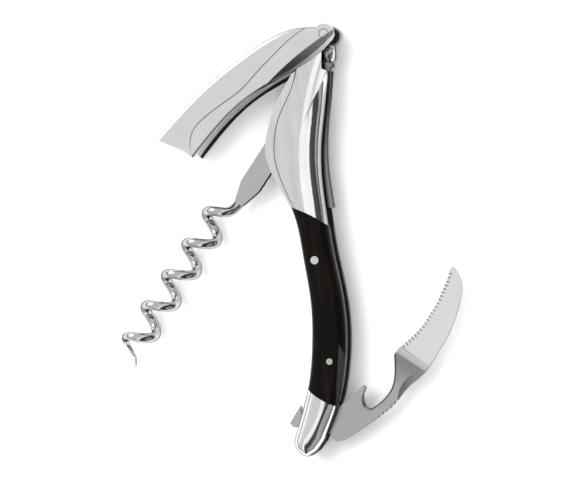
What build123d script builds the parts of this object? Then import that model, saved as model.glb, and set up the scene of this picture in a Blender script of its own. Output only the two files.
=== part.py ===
from build123d import *
import os
from math import acos, atan2, cos, degrees, hypot, radians, sin, tan

# Lever corkscrew, lying on its cheek: +Z up, +Y towards the lever end, worm side towards -X.
# Origin: middle of the footprint, on the surface that it lies on. All sizes in millimetres.

# ---------------------------------------------------------------- thicknesses, across the handle
THICKNESS = 15.0  # over the two cheeks, and over the lever
LINER_GAP = 3.2  # slot between the liners
PLATE = 3.0  # springs, spacer, knife tang and worm shank
LINER = 1.2  # each liner plate
FLANGE = 1.4  # each side wall of the lever
FLANGE_PLAY = 0.25  # between a lever wall and the bolster seat that it closes over
MARGIN_STEP = 0.15  # the margin along the belly starts this much lower than the seat
MARGIN_SLOPE = 14.0  # and falls away towards the belly at this angle, in degrees
CHEEK_ROUND = 3.2  # rounding of the cheeks' long edges

# ---------------------------------------------------------------- pivots and pins
LEVER_PIVOT = (10.9, 58.2)
WORM_PIVOT = (3.05, 37.1)
KNIFE_PIVOT = (8.2, -53.4)
WORM_SPRING_PIVOT = (7.6, 51.4)
UPPER_RIVET = (8.3, -6.0)
LOWER_RIVET = (12.6, -34.7)
SPACER_PINS = [(6.4, 11.6), (6.4, 16.8)]
HEAD_BOLSTER_PINS = [(-2.6, 27.0), (8.3, 12.0)]
TAIL_BOLSTER_PINS = [(12.4, -50.2), (4.6, -58.3)]
LEVER_PIN_R = 1.25
WORM_PIN_R = 1.6
KNIFE_PIN_R = 1.2
SPRING_PIN_R = 0.8
SPACER_PIN_R = 0.6
BOLSTER_PIN_R = 0.7
UPPER_RIVET_R = 1.15
LOWER_RIVET_R = 0.9
RUNNING = 0.04  # radial play of every pin in its hole
PIN_BITE = 2.2  # how deep a hidden pin enters each bolster

# ---------------------------------------------------------------- travel, in degrees from the pose shown
LEVER_CLOSED = 36.0
WORM_CLOSED = 31.0
WORM_SPRING_LIFT = 2.3  # the worm's tang holds its spring up by this much
KNIFE_SPRING_LIFT = 1.0
KNIFE_CLOSED = 41.0
KNIFE_OPEN = -134.0

# ---------------------------------------------------------------- handle outline
BELLY = [(1.4, 47.1), (-3.3, 38.3), (-5.9, 30.0), (-6.4, 24.5), (-4.5, 18.8), (1.2, 8.6)]
BELLY += [(4.6, -5.5), (6.7, -18.0), (7.1, -30.0), (6.2, -41.0), (4.1, -50.0), (2.0, -57.0)]
TAIL = [(3.1, -60.4), (5.9, -61.9), (8.6, -60.0)]  # middle and end of the round corner, then the end facet
BACK = [(10.6, -57.2), (12.6, -52.5), (14.9, -46.0), (16.3, -39.0), (17.0, -30.5), (16.7, -22.0)]
BACK += [(15.5, -14.0), (13.2, -3.5), (11.2, 8.6), (10.1, 17.0), (9.8, 26.0), (10.7, 36.0), (11.6, 47.8)]
NECK_BACK = 10.0  # x of the neck's back edge, behind the thumb boss
HEAD_R = 2.4  # round head about the lever pin
HEAD_JOINT = [(-1.0, 9.6), (7.4, 6.6), (14.5, 1.8)]  # head bolster to scale
TAIL_JOINT = [(4.4, -41.0), (10.6, -45.8), (18.0, -48.4)]  # scale to tail bolster
MARGIN_LINE = [(3.0, 50.0), (1.2, 42.5), (-2.3, 34.6), (-3.6, 28.0), (-3.5, 23.0), (-0.8, 14.8), (2.2, 8.0)]

# ---------------------------------------------------------------- lever
LEVER_BACK = [(-38.8, 28.6), (-32.0, 36.2), (-20.3, 47.2), (-11.3, 53.9), (-3.5, 58.6), (4.1, 60.8)]
LEVER_EDGE = [
    (-27.0, 23.2),
    (-20.0, 31.7),
    (-13.3, 38.3),
    (-6.6, 42.9),
    (-1.7, 45.6),
    (3.2, 48.5),
    (8.1, 51.6),
]
LEVER_RIM = [(-28.4, 24.4), (-30.2, 25.6), (-32.6, 26.4), (-35.6, 27.5)]  # step for the bottle's rim
WEB = 1.5
EAR_R = 2.9
LEVER_ROUND = 2.6
LIP = 0.55  # bevel along the lower edge of each wall
PANEL_STEP = 0.15  # the face above the panel line lies lower by this
PANEL_LINE = [(8.2, 61.6), (5.4, 59.7), (1.6, 56.9), (-3.5, 52.1), (-7.7, 47.9), (-13.3, 42.0)]
PANEL_LINE += [(-18.6, 38.2), (-23.4, 34.6), (-26.6, 31.2), (-27.6, 27.4), (-26.9, 22.4)]
HOLLOW_CENTRE = (59.2, -17.1)  # a large ball over this point cuts the hollow by the hinge
HOLLOW_REACH = 89.0  # from there to the hollow's upper edge
HOLLOW_BALL = 280.0

# ---------------------------------------------------------------- worm
WORM_AXIS_ANGLE = -123.7  # direction of the screw, in degrees
WORM_OFFSET = 3.03  # screw axis beside the shank's centre line
COIL_R = 3.5
WIRE_R = 1.4
PITCH = 10.8
TURNS = 5.0
SHANK_LENGTH = 34.5  # pivot to the start of the screw, along its axis
SHANK_WIDTH = 6.0
SHANK_NECK = 8.0  # length over which the flat shank draws down to the wire
LEAD_TURNS = 0.22  # the wire bends from the shank into the screw over this many turns
POINT_TURNS = 0.75  # the last part of the screw tapers to its point
POINT_R = 0.18
LEAD_DEPTH = 4.0  # how far the wire runs back inside the drawn-down shank
WIRE_JOIN = 0.02  # round joints of the wire stand this much proud
WORM_FLAT = 5.0  # pivot to the tang's flats
WORM_LOBE = 5.6  # pivot to the tang's corners

# ---------------------------------------------------------------- springs and spacer
SPRING_INSET = 0.1  # seated springs lie this far inside the handle's edge
WORM_SPRING_T = 2.3
KNIFE_SPRING_T = 2.1
WORM_SPRING_END = 8.8  # y of its free end
KNIFE_SPRING_ENDS = (-53.7, -3.0)
KNIFE_SPRING_LIP = [(3.9, -47.6), (0.9, -52.6), (2.0, -53.8), (4.5, -53.8)]
EYE_WALL = 0.8
BOSS_BASE = 10.35  # x of the thumb boss's flat side, just clear of the neck
BOSS_ENDS = (48.75, 55.35)
BOSS_WIDTH = 5.6
BOSS_HEIGHT = 2.8
COLLAR_LENGTH = 1.2
SPACER_WIDTH = 2.0
SPACER_ENDS = (9.5, 18.9)

# ---------------------------------------------------------------- knife and bottle opener
KNIFE_FLAT = 2.6  # pivot to the tang's flats
KNIFE_LOBE = 3.3  # pivot to the tang's corners
KNIFE_BACK = [(10.1, -50.1), (13.2, -48.4), (15.8, -46.6), (18.4, -44.3), (21.3, -41.6)]
HOOK = [(21.9, -42.2), (21.3, -43.7)]
NOTCH = [(21.3, -43.7), (21.4, -46.1), (21.95, -47.4), (22.9, -48.15), (24.1, -47.8), (26.3, -46.2)]
NOTCH += [(27.9, -44.6), (29.3, -42.5), (30.2, -38.9), (30.1, -32.9)]
EDGE = [(31.8, -30.5), (33.7, -28.8), (36.0, -26.6), (38.2, -24.2), (40.1, -21.2), (41.8, -18.5)]
EDGE += [(43.1, -15.7), (44.3, -13.0), (45.1, -11.0), (45.7, -8.9)]
KNIFE_TIP = (47.0, -7.5)
SPINE = [(48.2, -9.1), (49.5, -13.5), (49.2, -16.3), (48.5, -19.3), (45.7, -26.9), (41.8, -33.5)]
SPINE += [(38.5, -38.1), (33.6, -42.5), (30.0, -47.0), (25.3, -50.8), (19.6, -54.7), (15.7, -57.2)]
HEEL = [(13.75, -57.7), (12.4, -56.4), (11.2, -54.8)]
BLADE_T = 1.7
BLADE_EDGE_T = 0.35
BLADE_CHORD = 57.2  # direction from the blade's heel to its tip, in degrees
GRIND_START = -8.5  # along the chord's direction, from the origin
GRIND_EDGE = -43.4  # across it, at the cutting edge
GRIND_SPINE = -53.2
GRIND_RAMP = 1.7  # length of the slope from the plate down to the ground blade
ARM_BEVEL = 0.5  # bevel along the opener's notch
SCALLOP_CENTRE = (39.4, -45.6)  # a ball over this point hollows the outer edge of the arm
SCALLOP_R = 8.2
SCALLOP_BALL = 26.0
FILE_MARKS = [(30.7, -46.2), (29.7, -47.4), (28.5, -48.5), (27.3, -49.4), (26.0, -50.3)]
FILE_MARK_R = 0.42
SERRATIONS = 23
SERRATION_R = 0.62
SERRATION_DEPTH = 0.32

os.makedirs("parts", exist_ok=True)

mid = THICKNESS / 2
slot = LINER_GAP / 2
plate_low = mid - PLATE / 2
liner_top = mid + slot + LINER
seat_top = THICKNESS - FLANGE - FLANGE_PLAY
far = 200.0  # past every edge of the part


def turned(point, centre, angle):
    """A point turned about a centre in the plane of the cheeks, by an angle in degrees."""
    dx, dy = point[0] - centre[0], point[1] - centre[1]
    c, s = cos(radians(angle)), sin(radians(angle))
    return (centre[0] + dx * c - dy * s, centre[1] + dx * s + dy * c)


def polar(centre, radius, angle):
    """The point at a radius and an angle in degrees from a centre."""
    return (centre[0] + radius * cos(radians(angle)), centre[1] + radius * sin(radians(angle)))


def inset_curve(edge, distance, start=0.0, stop=1.0, count=9):
    """Points beside an edge, moved to its right by a distance."""
    points = []
    for i in range(count):
        t = start + (stop - start) * i / (count - 1)
        along = edge % t
        side = Vector(along.Y, -along.X)
        points.append(edge @ t + side * distance)
    return points


def pivot_axis(point):
    """The upright axis through a pivot."""
    return Axis((point[0], point[1], 0), (0, 0, 1))


def pin(name, points, radius, low, high):
    """Straight round pins between two heights, as one labelled part."""
    with BuildPart() as made:
        with Locations(*[(x, y, low) for x, y in points]):
            Cylinder(radius, high - low, align=(Align.CENTER, Align.CENTER, Align.MIN))
    made.part.label = name
    return made.part


# ---------------------------------------------------------------- outlines shared by several pieces
with BuildLine() as belly_line:
    belly_edge = Spline(*BELLY)
with BuildLine() as back_line:
    back_edge = Spline(*BACK)

# The full handle: belly, tail, back, then the neck and the round head about the lever pin.
reach = hypot(LEVER_PIVOT[0] - BELLY[0][0], LEVER_PIVOT[1] - BELLY[0][1])
aim = degrees(atan2(LEVER_PIVOT[1] - BELLY[0][1], LEVER_PIVOT[0] - BELLY[0][0]))
head_left = polar(LEVER_PIVOT, HEAD_R, aim + 180 - degrees(acos(HEAD_R / reach)))
head_foot = (NECK_BACK, LEVER_PIVOT[1] - (HEAD_R**2 - (LEVER_PIVOT[0] - NECK_BACK) ** 2) ** 0.5)

with BuildSketch() as handle_face:
    with BuildLine():
        Spline(*BELLY)
        ThreePointArc(BELLY[-1], *TAIL[:2])
        Polyline(*TAIL[1:], BACK[0])
        Spline(*BACK)
        Line(BACK[-1], (NECK_BACK, BACK[-1][1] + 0.5))
        Line((NECK_BACK, BACK[-1][1] + 0.5), head_foot)
        ThreePointArc(head_foot, polar(LEVER_PIVOT, HEAD_R, 30), head_left)
        Line(head_left, BELLY[0])
    make_face()

# The grip without its neck, which carries the rounded cheeks.
with BuildSketch() as grip_face:
    with BuildLine():
        Spline(*BELLY)
        ThreePointArc(BELLY[-1], *TAIL[:2])
        Polyline(*TAIL[1:], BACK[0])
        Spline(*BACK)
        Line(BACK[-1], BELLY[0])
    make_face()

# What lies above the head joint, and what lies below the tail joint.
with BuildSketch() as head_region:
    with BuildLine():
        Spline(*HEAD_JOINT)
        Polyline(HEAD_JOINT[-1], (far, HEAD_JOINT[-1][1]), (far, far), (-far, far))
        Polyline((-far, far), (-far, HEAD_JOINT[0][1]), HEAD_JOINT[0])
    make_face()

with BuildSketch() as tail_region:
    with BuildLine():
        Spline(*TAIL_JOINT)
        Polyline(TAIL_JOINT[-1], (far, TAIL_JOINT[-1][1]), (far, -far), (-far, -far))
        Polyline((-far, -far), (-far, TAIL_JOINT[0][1]), TAIL_JOINT[0])
    make_face()

# The bolster's seat for the closed lever: its lower edge swung shut, with a little room.
shut_edge = [turned(p, LEVER_PIVOT, LEVER_CLOSED) for p in LEVER_EDGE]
with BuildLine() as seat_line:
    Spline(*shut_edge)
seat_points = inset_curve(seat_line.line, 0.5)
with BuildSketch() as seat_region:
    with BuildLine():
        Spline(*seat_points)
        Polyline(seat_points[-1], (far, seat_points[-1].Y), (far, far), (-far, far))
        Polyline((-far, far), (-far, seat_points[0].Y - 4), (seat_points[0].X, seat_points[0].Y - 4))
        Line((seat_points[0].X, seat_points[0].Y - 4), seat_points[0])
    make_face()

# The sloping cut that leaves the margin along the belly.
with BuildPart() as margin_cut:
    with BuildLine(Plane.XY.offset(seat_top)):
        margin_edge = Spline(*MARGIN_LINE)
    reach_out = 6.0
    heading = margin_edge % 0
    with BuildSketch(Plane(margin_edge @ 0, x_dir=heading.cross(Vector(0, 0, 1)), z_dir=heading)):
        with BuildLine():
            foot = MARGIN_STEP + reach_out * tan(radians(MARGIN_SLOPE))
            Polyline((0, MARGIN_STEP), (reach_out, foot), (reach_out, -4), (0, -4), close=True)
        make_face()
    sweep(path=margin_edge)

# ---------------------------------------------------------------- liners
LINER_BORES = [
    (WORM_PIVOT, WORM_PIN_R),
    (KNIFE_PIVOT, KNIFE_PIN_R),
    (LEVER_PIVOT, LEVER_PIN_R),
    (WORM_SPRING_PIVOT, SPRING_PIN_R),
    (UPPER_RIVET, UPPER_RIVET_R),
    (LOWER_RIVET, LOWER_RIVET_R),
]
LINER_BORES += [(p, SPACER_PIN_R) for p in SPACER_PINS]
LINER_BORES += [(p, BOLSTER_PIN_R) for p in HEAD_BOLSTER_PINS + TAIL_BOLSTER_PINS]

with BuildPart() as front_liner:
    with BuildSketch(Plane.XY.offset(mid + slot)):
        add(handle_face.sketch)
        for place, radius in LINER_BORES:
            with Locations(place):
                Circle(radius + RUNNING, mode=Mode.SUBTRACT)
    extrude(amount=LINER)

# ---------------------------------------------------------------- cheeks: one rounded blank, cut into three
with BuildPart() as cheek_blank:
    with BuildSketch(Plane.XY.offset(liner_top)):
        add(grip_face.sketch)
    extrude(amount=THICKNESS - liner_top)
    rim = cheek_blank.faces().sort_by(Axis.Z)[-1].edges()
    fillet(rim.sort_by(Axis.Y)[:-1], CHEEK_ROUND)

with BuildPart() as front_scale:
    add(cheek_blank.part)
    with BuildSketch(Plane.XY.offset(liner_top)):
        add(head_region.sketch)
        add(tail_region.sketch)
    extrude(amount=THICKNESS, mode=Mode.SUBTRACT)
    with Locations((*UPPER_RIVET, liner_top)):
        Cylinder(UPPER_RIVET_R + RUNNING, 2 * THICKNESS, mode=Mode.SUBTRACT)
    with Locations((*LOWER_RIVET, liner_top)):
        Cylinder(LOWER_RIVET_R + RUNNING, 2 * THICKNESS, mode=Mode.SUBTRACT)

with BuildPart() as front_tail_bolster:
    add(cheek_blank.part)
    with BuildSketch(Plane.XY.offset(liner_top)):
        add(tail_region.sketch)
    extrude(amount=THICKNESS, mode=Mode.INTERSECT)
    with Locations((*KNIFE_PIVOT, liner_top)):
        Cylinder(KNIFE_PIN_R + RUNNING, 2 * PIN_BITE, mode=Mode.SUBTRACT)
    with Locations(*[(*p, liner_top) for p in TAIL_BOLSTER_PINS]):
        Cylinder(BOLSTER_PIN_R + RUNNING, 2 * PIN_BITE, mode=Mode.SUBTRACT)

with BuildPart() as front_head_bolster:
    add(cheek_blank.part)
    with BuildSketch(Plane.XY.offset(seat_top)):
        add(seat_region.sketch)
    extrude(amount=THICKNESS, mode=Mode.SUBTRACT)
    with BuildSketch(Plane.XY.offset(liner_top)):
        add(handle_face.sketch)
        add(seat_region.sketch, mode=Mode.INTERSECT)
    extrude(amount=seat_top - liner_top)
    add(margin_cut.part, mode=Mode.SUBTRACT)
    with BuildSketch(Plane.XY.offset(liner_top)):
        add(head_region.sketch)
    extrude(amount=THICKNESS, mode=Mode.INTERSECT)
    with Locations((*LEVER_PIVOT, liner_top)):
        Cylinder(LEVER_PIN_R + RUNNING, 2 * THICKNESS, mode=Mode.SUBTRACT)
    with Locations((*WORM_PIVOT, liner_top)):
        Cylinder(WORM_PIN_R + RUNNING, 2 * PIN_BITE, mode=Mode.SUBTRACT)
    with Locations((*WORM_SPRING_PIVOT, liner_top)):
        Cylinder(SPRING_PIN_R + RUNNING, 2 * PIN_BITE, mode=Mode.SUBTRACT)
    with Locations(*[(*p, liner_top) for p in SPACER_PINS]):
        Cylinder(SPACER_PIN_R + RUNNING, 2 * PIN_BITE, mode=Mode.SUBTRACT)
    with Locations(*[(*p, liner_top) for p in HEAD_BOLSTER_PINS]):
        Cylinder(BOLSTER_PIN_R + RUNNING, 2 * PIN_BITE, mode=Mode.SUBTRACT)

# Each cheek piece has its mirror image on the lower side.
mirror_plane = Plane.XY.offset(mid)
cheek_pieces = {
    "liner": front_liner.part,
    "scale": front_scale.part,
    "head_bolster": front_head_bolster.part,
    "tail_bolster": front_tail_bolster.part,
}
for piece_name, front_piece in cheek_pieces.items():
    with BuildPart() as back_piece:
        mirror(front_piece, about=mirror_plane)
    front_piece.label = "front_" + piece_name
    back_piece.part.label = "back_" + piece_name
    export_step(front_piece, f"parts/front_{piece_name}.step")
    export_step(back_piece.part, f"parts/back_{piece_name}.step")

# ---------------------------------------------------------------- pins and rivets
hidden_low, hidden_high = THICKNESS - liner_top - PIN_BITE, liner_top + PIN_BITE
liner_face = mid + slot
pins = [
    pin("worm_pin", [WORM_PIVOT], WORM_PIN_R, hidden_low, hidden_high),
    pin("knife_pin", [KNIFE_PIVOT], KNIFE_PIN_R, hidden_low, hidden_high),
    pin("worm_spring_pin", [WORM_SPRING_PIVOT], SPRING_PIN_R, hidden_low, hidden_high),
    pin("spacer_pins", SPACER_PINS, SPACER_PIN_R, hidden_low, hidden_high),
    pin("lever_pin", [LEVER_PIVOT], LEVER_PIN_R, 0.0, THICKNESS),
    pin("upper_scale_rivet", [UPPER_RIVET], UPPER_RIVET_R, 0.0, THICKNESS),
    pin("lower_scale_rivet", [LOWER_RIVET], LOWER_RIVET_R, 0.0, THICKNESS),
]
for place_name, places in (("head", HEAD_BOLSTER_PINS), ("tail", TAIL_BOLSTER_PINS)):
    with BuildPart() as tie_pins:
        with Locations(*[(x, y, liner_face) for x, y in places]):
            Cylinder(BOLSTER_PIN_R, LINER + PIN_BITE, align=(Align.CENTER, Align.CENTER, Align.MIN))
        mirror(tie_pins.part, about=mirror_plane)
    tie_pins.part.label = place_name + "_bolster_pins"
    pins.append(tie_pins.part)
for made_pin in pins:
    export_step(made_pin, f"parts/{made_pin.label}.step")

# ---------------------------------------------------------------- lever: a channel with two ears
with BuildSketch() as lever_face:
    with BuildLine():
        lever_back = Spline(*LEVER_BACK)
        ear_top = polar(LEVER_PIVOT, EAR_R, 100)
        ear_low = polar(LEVER_PIVOT, EAR_R, -52)
        Line(LEVER_BACK[-1], ear_top)
        ThreePointArc(ear_top, polar(LEVER_PIVOT, EAR_R, 20), ear_low)
        Spline(ear_low, *reversed(LEVER_EDGE))
        Spline(LEVER_EDGE[0], *LEVER_RIM, LEVER_BACK[0])
    make_face()

# Everything inside the web, and beyond the web's end at the hinge.
with BuildSketch() as channel_face:
    with BuildLine():
        inner_points = inset_curve(lever_back, WEB)
        Spline(*inner_points)
        past_tip = inner_points[0] + (inner_points[0] - inner_points[1]) * 2
        past_end = inner_points[-1] + (lever_back @ 1 - inner_points[-1]) * 10
        Polyline(inner_points[-1], past_end, (far, past_end.Y), (far, -far), (-far, -far))
        Polyline((-far, -far), past_tip, inner_points[0])
    make_face()

# The wall's face above the panel line.
with BuildSketch() as panel_region:
    with BuildLine():
        Spline(*PANEL_LINE)
        Polyline(PANEL_LINE[-1], (-far, PANEL_LINE[-1][1]), (-far, far))
        Polyline((-far, far), (PANEL_LINE[0][0], far), PANEL_LINE[0])
    make_face()

hollow_height = (HOLLOW_BALL**2 - HOLLOW_REACH**2) ** 0.5
with BuildPart() as lever:
    add(lever_face.sketch)
    extrude(amount=THICKNESS)
    sides = [lever.faces().sort_by(Axis.Z)[0], lever.faces().sort_by(Axis.Z)[-1]]
    fillet([face.edges().sort_by(SortBy.LENGTH)[-1] for face in sides], LEVER_ROUND)
    sides = [lever.faces().sort_by(Axis.Z)[0], lever.faces().sort_by(Axis.Z)[-1]]
    for face in sides:
        long_edges = [edge for edge in face.edges() if edge.length > 40]
        chamfer(sorted(long_edges, key=lambda edge: edge.center().Y)[0], LIP)
    for height, depth in ((THICKNESS, -PANEL_STEP), (0, PANEL_STEP)):
        with BuildSketch(Plane.XY.offset(height)):
            add(panel_region.sketch)
        extrude(amount=depth, mode=Mode.SUBTRACT)
    for height in (THICKNESS + hollow_height, -hollow_height):
        with Locations((*HOLLOW_CENTRE, height)):
            Sphere(HOLLOW_BALL, mode=Mode.SUBTRACT)
    with BuildSketch(Plane.XY.offset(FLANGE)):
        add(channel_face.sketch)
    extrude(amount=THICKNESS - 2 * FLANGE, mode=Mode.SUBTRACT)
    with Locations((*LEVER_PIVOT, mid)):
        Cylinder(LEVER_PIN_R + RUNNING, 2 * THICKNESS, mode=Mode.SUBTRACT)
lever.part.label = "lever"
export_step(lever.part, "parts/lever.step")

# ---------------------------------------------------------------- worm: a forged shank and a round wire
screw = (cos(radians(WORM_AXIS_ANGLE)), sin(radians(WORM_AXIS_ANGLE)))
beside = (screw[1], -screw[0])  # from the shank's line to the screw's axis
neck_start = SHANK_LENGTH - SHANK_NECK
taper_start = TURNS - POINT_TURNS


def on_screw(along, across):
    """A point at a distance along and across the shank's line, from the worm's pivot."""
    x = WORM_PIVOT[0] + screw[0] * along + beside[0] * across
    y = WORM_PIVOT[1] + screw[1] * along + beside[1] * across
    return (x, y)


def on_coil(turn):
    """A point on the screw's centre line, after a number of right-handed turns about +Z."""
    angle = radians(360 * turn)
    return Vector(COIL_R * cos(angle), COIL_R * sin(angle), PITCH * turn)


def along_coil(turn):
    """The direction of the screw's centre line at a turn."""
    return (on_coil(turn + 0.001) - on_coil(turn - 0.001)).normalized()


with BuildPart() as coil:
    with BuildLine():
        coil_line = Helix(PITCH, PITCH * (taper_start - LEAD_TURNS), COIL_R)
    with BuildSketch(Plane(coil_line @ 0, z_dir=coil_line % 0)):
        Circle(WIRE_R)
    sweep(path=coil_line, is_frenet=True)
coil_place = Location((0, 0, PITCH * LEAD_TURNS), (0, 0, 360 * LEAD_TURNS))

# The whole wire about +Z: the bend from the shank, the screw, and its tapered point.
with BuildPart() as wire:
    add(coil.part.moved(coil_place))
    with Locations(on_coil(LEAD_TURNS), on_coil(taper_start)):
        Sphere(WIRE_R + WIRE_JOIN)
    with BuildLine():
        lead = Spline(
            (WORM_OFFSET, 0, -LEAD_DEPTH),
            on_coil(LEAD_TURNS),
            tangents=[(0, 0, 1), along_coil(LEAD_TURNS)],
        )
    with BuildSketch(Plane(lead @ 0, z_dir=lead % 0)):
        Circle(WIRE_R)
    sweep(path=lead, is_frenet=True)
    with BuildLine():
        taper_points = [on_coil(taper_start + POINT_TURNS * i / 11) for i in range(12)]
        taper = Spline(*taper_points, tangents=[along_coil(taper_start), along_coil(TURNS)])
    with BuildSketch(Plane(taper @ 0, z_dir=taper % 0)) as taper_root:
        Circle(WIRE_R)
    with BuildSketch(Plane(taper @ 1, z_dir=taper % 1)) as taper_tip:
        Circle(POINT_R)
    taper_ends = [taper_root.sketch.face(), taper_tip.sketch.face()]
    sweep(sections=taper_ends, path=taper, multisection=True, is_frenet=True)

# Flats of the worm's tang, facing its spring: folded, as shown, and standing out at right angles.
worm_flats = [-WORM_CLOSED, 0, 90 - WORM_CLOSED]
screw_root = on_screw(SHANK_LENGTH, WORM_OFFSET)
wire_plane = Plane((*screw_root, mid), x_dir=(-beside[0], -beside[1], 0), z_dir=(screw[0], screw[1], 0))

with BuildPart() as worm:
    with BuildSketch(Plane.XY.offset(plate_low)):
        with Locations(WORM_PIVOT):
            Circle(WORM_LOBE)
            for flat in worm_flats:
                with Locations(Location((0, 0, 0), (0, 0, flat))):
                    with Locations((WORM_FLAT + WORM_LOBE, 0)):
                        Rectangle(2 * WORM_LOBE, 4 * WORM_LOBE, mode=Mode.SUBTRACT)
        with BuildLine():
            half = SHANK_WIDTH / 2
            shank_side = [(0, half), (neck_start, half), (SHANK_LENGTH - 2, WIRE_R * 0.9)]
            shank_outline = shank_side + [(a, -b) for a, b in reversed(shank_side)]
            Polyline(*[on_screw(a, b) for a, b in shank_outline], close=True)
        make_face()
    extrude(amount=PLATE)
    add(wire.part.moved(wire_plane.location))
    with Locations((*WORM_PIVOT, mid)):
        Cylinder(WORM_PIN_R + RUNNING, THICKNESS, mode=Mode.SUBTRACT)
worm.part.label = "worm"
export_step(worm.part, "parts/worm.step")

# ---------------------------------------------------------------- centre spacer
with BuildPart() as centre_spacer:
    with BuildSketch(Plane.XY.offset(plate_low)):
        with Locations((SPACER_PINS[0][0], sum(SPACER_ENDS) / 2)):
            Rectangle(SPACER_WIDTH, SPACER_ENDS[1] - SPACER_ENDS[0])
        with Locations(*SPACER_PINS):
            Circle(SPACER_PIN_R + RUNNING, mode=Mode.SUBTRACT)
    extrude(amount=PLATE)
centre_spacer.part.label = "centre_spacer"
export_step(centre_spacer.part, "parts/centre_spacer.step")

# ---------------------------------------------------------------- springs, made seated and then lifted
with BuildPart() as seated_worm_spring:
    with BuildSketch(Plane.XY.offset(plate_low)):
        with BuildLine():
            outer = Spline(*inset_curve(back_edge, -SPRING_INSET, 0.55, 1.0))
            inner = Spline(*inset_curve(back_edge, -SPRING_INSET - WORM_SPRING_T, 0.55, 1.0))
            Line(outer @ 0, inner @ 0)
            Line(outer @ 1, inner @ 1)
        make_face()
        with Locations((0, (WORM_SPRING_END + far) / 2)):
            Rectangle(far, far - WORM_SPRING_END, mode=Mode.INTERSECT)
        eye_r = SPRING_PIN_R + RUNNING + EYE_WALL
        with BuildLine():
            eye_low = polar(WORM_SPRING_PIVOT, eye_r, -150)
            Polyline((inner @ 1) + (0, -2), (outer @ 1) + (0, -1), outer @ 1)
            Line(outer @ 1, (BOSS_BASE + 1, BOSS_ENDS[0] + 1))
            Polyline((BOSS_BASE + 1, BOSS_ENDS[0] + 1), (BOSS_BASE + 1, WORM_SPRING_PIVOT[1] + eye_r))
            eye_side = WORM_SPRING_PIVOT[1] + eye_r
            Line((BOSS_BASE + 1, eye_side), (WORM_SPRING_PIVOT[0], eye_side))
            Polyline((WORM_SPRING_PIVOT[0], WORM_SPRING_PIVOT[1] + eye_r), eye_low, (inner @ 1) + (0, -2))
        make_face()
        with Locations(WORM_SPRING_PIVOT):
            Circle(eye_r)
            Circle(SPRING_PIN_R + RUNNING, mode=Mode.SUBTRACT)
    extrude(amount=PLATE)
    boss_centre = (sum(BOSS_ENDS) + COLLAR_LENGTH) / 2
    boss_half = (BOSS_ENDS[1] - BOSS_ENDS[0] - COLLAR_LENGTH) / 2
    for height, share in ((0, 1), (BOSS_HEIGHT * 0.7, 0.84), (BOSS_HEIGHT, 0.5)):
        with BuildSketch(Plane((BOSS_BASE + height, boss_centre, mid), x_dir=(0, 1, 0), z_dir=(1, 0, 0))):
            Ellipse(boss_half * (share + 1) / 2, BOSS_WIDTH / 2 * share)
    loft()
    with Locations((BOSS_BASE, BOSS_ENDS[0] + COLLAR_LENGTH / 2, mid)):
        Box(
            BOSS_HEIGHT * 0.7,
            COLLAR_LENGTH,
            BOSS_WIDTH - 1.2,
            align=(Align.MIN, Align.CENTER, Align.CENTER),
        )
with BuildPart() as worm_spring:
    add(seated_worm_spring.part.rotate(pivot_axis(WORM_SPRING_PIVOT), WORM_SPRING_LIFT))
worm_spring.part.label = "worm_spring"
export_step(worm_spring.part, "parts/worm_spring.step")

with BuildPart() as seated_knife_spring:
    with BuildSketch(Plane.XY.offset(plate_low)):
        with BuildLine():
            outer = Spline(*inset_curve(belly_edge, -SPRING_INSET, 0.4, 1.0))
            inner = Spline(*inset_curve(belly_edge, -SPRING_INSET - KNIFE_SPRING_T, 0.4, 1.0))
            Line(outer @ 0, inner @ 0)
            Line(outer @ 1, inner @ 1)
        make_face()
        with Locations((0, sum(KNIFE_SPRING_ENDS) / 2)):
            Rectangle(far, KNIFE_SPRING_ENDS[1] - KNIFE_SPRING_ENDS[0], mode=Mode.INTERSECT)
        with BuildLine():
            Polyline(*KNIFE_SPRING_LIP, close=True)
        make_face()
        with Locations(UPPER_RIVET):
            Circle(UPPER_RIVET_R + RUNNING + EYE_WALL)
            Circle(UPPER_RIVET_R + RUNNING, mode=Mode.SUBTRACT)
    extrude(amount=PLATE)
with BuildPart() as knife_spring:
    add(seated_knife_spring.part.rotate(pivot_axis(UPPER_RIVET), -KNIFE_SPRING_LIFT))
knife_spring.part.label = "knife_spring"
export_step(knife_spring.part, "parts/knife_spring.step")

# ---------------------------------------------------------------- knife and bottle opener, one forging
spring_side = degrees(atan2(BELLY[-1][1] - BELLY[-2][1], BELLY[-1][0] - BELLY[-2][0])) - 90
knife_flats = [spring_side - KNIFE_CLOSED, spring_side, spring_side - KNIFE_OPEN]
chord = (cos(radians(BLADE_CHORD)), sin(radians(BLADE_CHORD)), 0)
across_blade = (-chord[1], chord[0], 0)

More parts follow.
